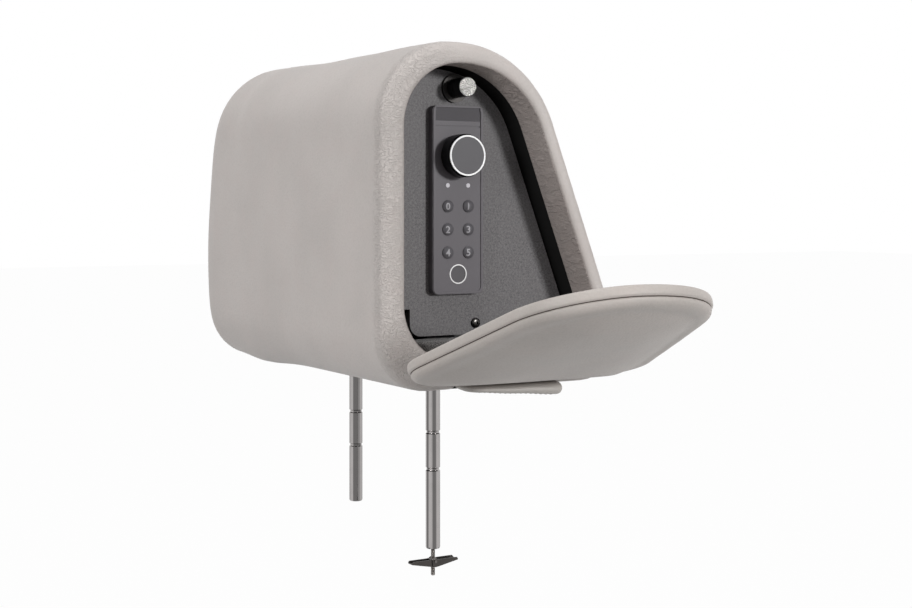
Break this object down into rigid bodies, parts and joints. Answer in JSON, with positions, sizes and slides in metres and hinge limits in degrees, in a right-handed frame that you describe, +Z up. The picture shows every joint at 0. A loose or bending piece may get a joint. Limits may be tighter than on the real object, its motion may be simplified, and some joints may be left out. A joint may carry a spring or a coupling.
{
  "type": "headrest safe",
  "caption": "Padded leather car headrest built around a small D-shaped steel safe, with a hinged end flap, a keypad and fingerprint lock and two seat posts, one with a locking toggle.",
  "frame": {"origin": "midway between the two posts, on the underside of the base plate", "axes": "+X along the body towards the flap, +Z up, +Y towards the sloping face"},
  "size_m": [0.5165, 0.1768, 0.354],
  "materials": {
    "leather": "soft fine grain",
    "leather_strap": "fine grain, stitched",
    "lining": "fine grain, slightly wrinkled",
    "foam": "open-cell foam",
    "felt": "speckled short felt",
    "black_steel": "black fine-textured powder coat",
    "door_coat": "charcoal fine-textured powder coat",
    "bare_steel": "brushed",
    "zinc": "dull zinc",
    "post_steel": "satin chrome",
    "bright_ring": "polished",
    "dark_zinc": "black oxide",
    "housing": "satin dark grey",
    "black_plastic": "satin black",
    "key_plastic": "satin dark grey",
    "window": "smoked",
    "light": "diffused, unlit",
    "sensor": "matt scanner face",
    "badge": "plain dark grey",
    "white_ring": "white",
    "magnet": "knurled nickel",
    "board": "plywood"
  },
  "bodies": {
    "headrest": {"steel_tube": "black_steel", "back_plate": "black_steel", "door_frame": "black_steel", "base_plate": "black_steel", "base_pad": "leather_strap", "foam_core": "foam", "leather_cover": "leather", "rim_lining": "lining", "floor_mat": "felt", "felt_liner": "felt", "hinge_strap": "leather_strap", "locking_post": "post_steel", "plain_post": "post_steel", "locking_flange": "bare_steel", "plain_flange": "bare_steel", "hinge_bracket": "black_steel", "door_hinge_pin": "bare_steel"},
    "door": {"safe_door": "door_coat", "door_leaf": "black_steel", "fascia_bolt": "dark_zinc", "lock_body": "housing", "display_window": "window", "status_lights": "light", "fingerprint_ring": "bright_ring", "fingerprint_pad": "sensor", "knob_bush": "black_plastic", "lock_case": "black_plastic", "battery_pack": "black_plastic", "bolt_guide": "zinc", "catch_flange": "zinc", "catch_sleeve": "black_plastic"},
    "catch": {"catch_plunger": "black_plastic", "catch_magnet": "magnet"},
    "knob": {"lock_knob": "black_plastic", "knob_ring": "white_ring", "knob_badge": "badge", "knob_spindle": "bare_steel", "bolt_pinion": "zinc"},
    "bolt": {"lock_bolt": "bare_steel"},
    "flap": {"flap_board": "board", "flap_lining": "lining", "flap_cushion": "leather", "strike_disc": "bare_steel"},
    "rod": {"toggle_rod": "zinc"},
    "nut": {"toggle_nut": "zinc"},
    "wide_wing": {"wing_wide": "dark_zinc"},
    "narrow_wing": {"wing_narrow": "dark_zinc"},
    "key_0_body": {"key_0": "key_plastic"},
    "key_1_body": {"key_1": "key_plastic"},
    "key_2_body": {"key_2": "key_plastic"},
    "key_3_body": {"key_3": "key_plastic"},
    "key_4_body": {"key_4": "key_plastic"},
    "key_5_body": {"key_5": "key_plastic"}
  },
  "joints": [
    {"name": "flap_hinge", "type": "hinge", "parent": "headrest", "child": "flap", "pos_m": [0.1541, 0, 0.0142], "axis": [0, 1, 0], "range_deg": [-72.3, 0]},
    {"name": "door_hinge", "type": "hinge", "parent": "headrest", "child": "door", "pos_m": [0.1145, 0, 0.028], "axis": [0, 1, 0], "range_deg": [0, 60]},
    {"name": "knob_turn", "type": "hinge", "parent": "door", "child": "knob", "pos_m": [0.12, -0.016, 0.1464], "axis": [1, 0, 0], "range_deg": [-90.1, 0]},
    {"name": "bolt_slide", "type": "slide", "parent": "door", "child": "bolt", "axis": [0, 0, 1], "range_m": [0, 0.01257]},
    {"name": "catch_slide", "type": "slide", "parent": "door", "child": "catch", "axis": [1, 0, 0], "range_m": [0, 0.0185]},
    {"name": "rod_turn", "type": "hinge", "parent": "headrest", "child": "rod", "pos_m": [0.06, 0, 0], "axis": [0, 0, 1], "range_deg": [-721, 721]},
    {"name": "nut_climb", "type": "slide", "parent": "headrest", "child": "nut", "axis": [0, 0, 1], "range_m": [-0.001, 0.001]},
    {"name": "wide_wing_fold", "type": "hinge", "parent": "nut", "child": "wide_wing", "pos_m": [0.06, 0, -0.1274], "axis": [1, 0, 0], "range_deg": [0, 50], "stiffness_Nm_per_rad": 0.001, "springref_deg": -11.46},
    {"name": "narrow_wing_fold", "type": "hinge", "parent": "nut", "child": "narrow_wing", "pos_m": [0.06, 0, -0.1274], "axis": [-1, 0, 0], "range_deg": [0, 50]},
    {"name": "key_0_press", "type": "slide", "parent": "door", "child": "key_0_body", "axis": [-1, 0, 0], "range_m": [0, 0.001], "stiffness_N_per_m": 400, "springref_m": -0.0005},
    {"name": "key_1_press", "type": "slide", "parent": "door", "child": "key_1_body", "axis": [-1, 0, 0], "range_m": [0, 0.001], "stiffness_N_per_m": 400, "springref_m": -0.0005},
    {"name": "key_2_press", "type": "slide", "parent": "door", "child": "key_2_body", "axis": [-1, 0, 0], "range_m": [0, 0.001], "stiffness_N_per_m": 400, "springref_m": -0.0005},
    {"name": "key_3_press", "type": "slide", "parent": "door", "child": "key_3_body", "axis": [-1, 0, 0], "range_m": [0, 0.001], "stiffness_N_per_m": 400, "springref_m": -0.0005},
    {"name": "key_4_press", "type": "slide", "parent": "door", "child": "key_4_body", "axis": [-1, 0, 0], "range_m": [0, 0.001], "stiffness_N_per_m": 400, "springref_m": -0.0005},
    {"name": "key_5_press", "type": "slide", "parent": "door", "child": "key_5_body", "axis": [-1, 0, 0], "range_m": [0, 0.001], "stiffness_N_per_m": 400, "springref_m": -0.0005}
  ],
  "couplings": [
    {"joint": "knob_turn", "follows": "bolt_slide", "rad_per_m": -125},
    {"joint": "rod_turn", "follows": "nut_climb", "rad_per_m": -12566},
    {"joint": "narrow_wing_fold", "follows": "wide_wing_fold", "ratio": 1}
  ]
}
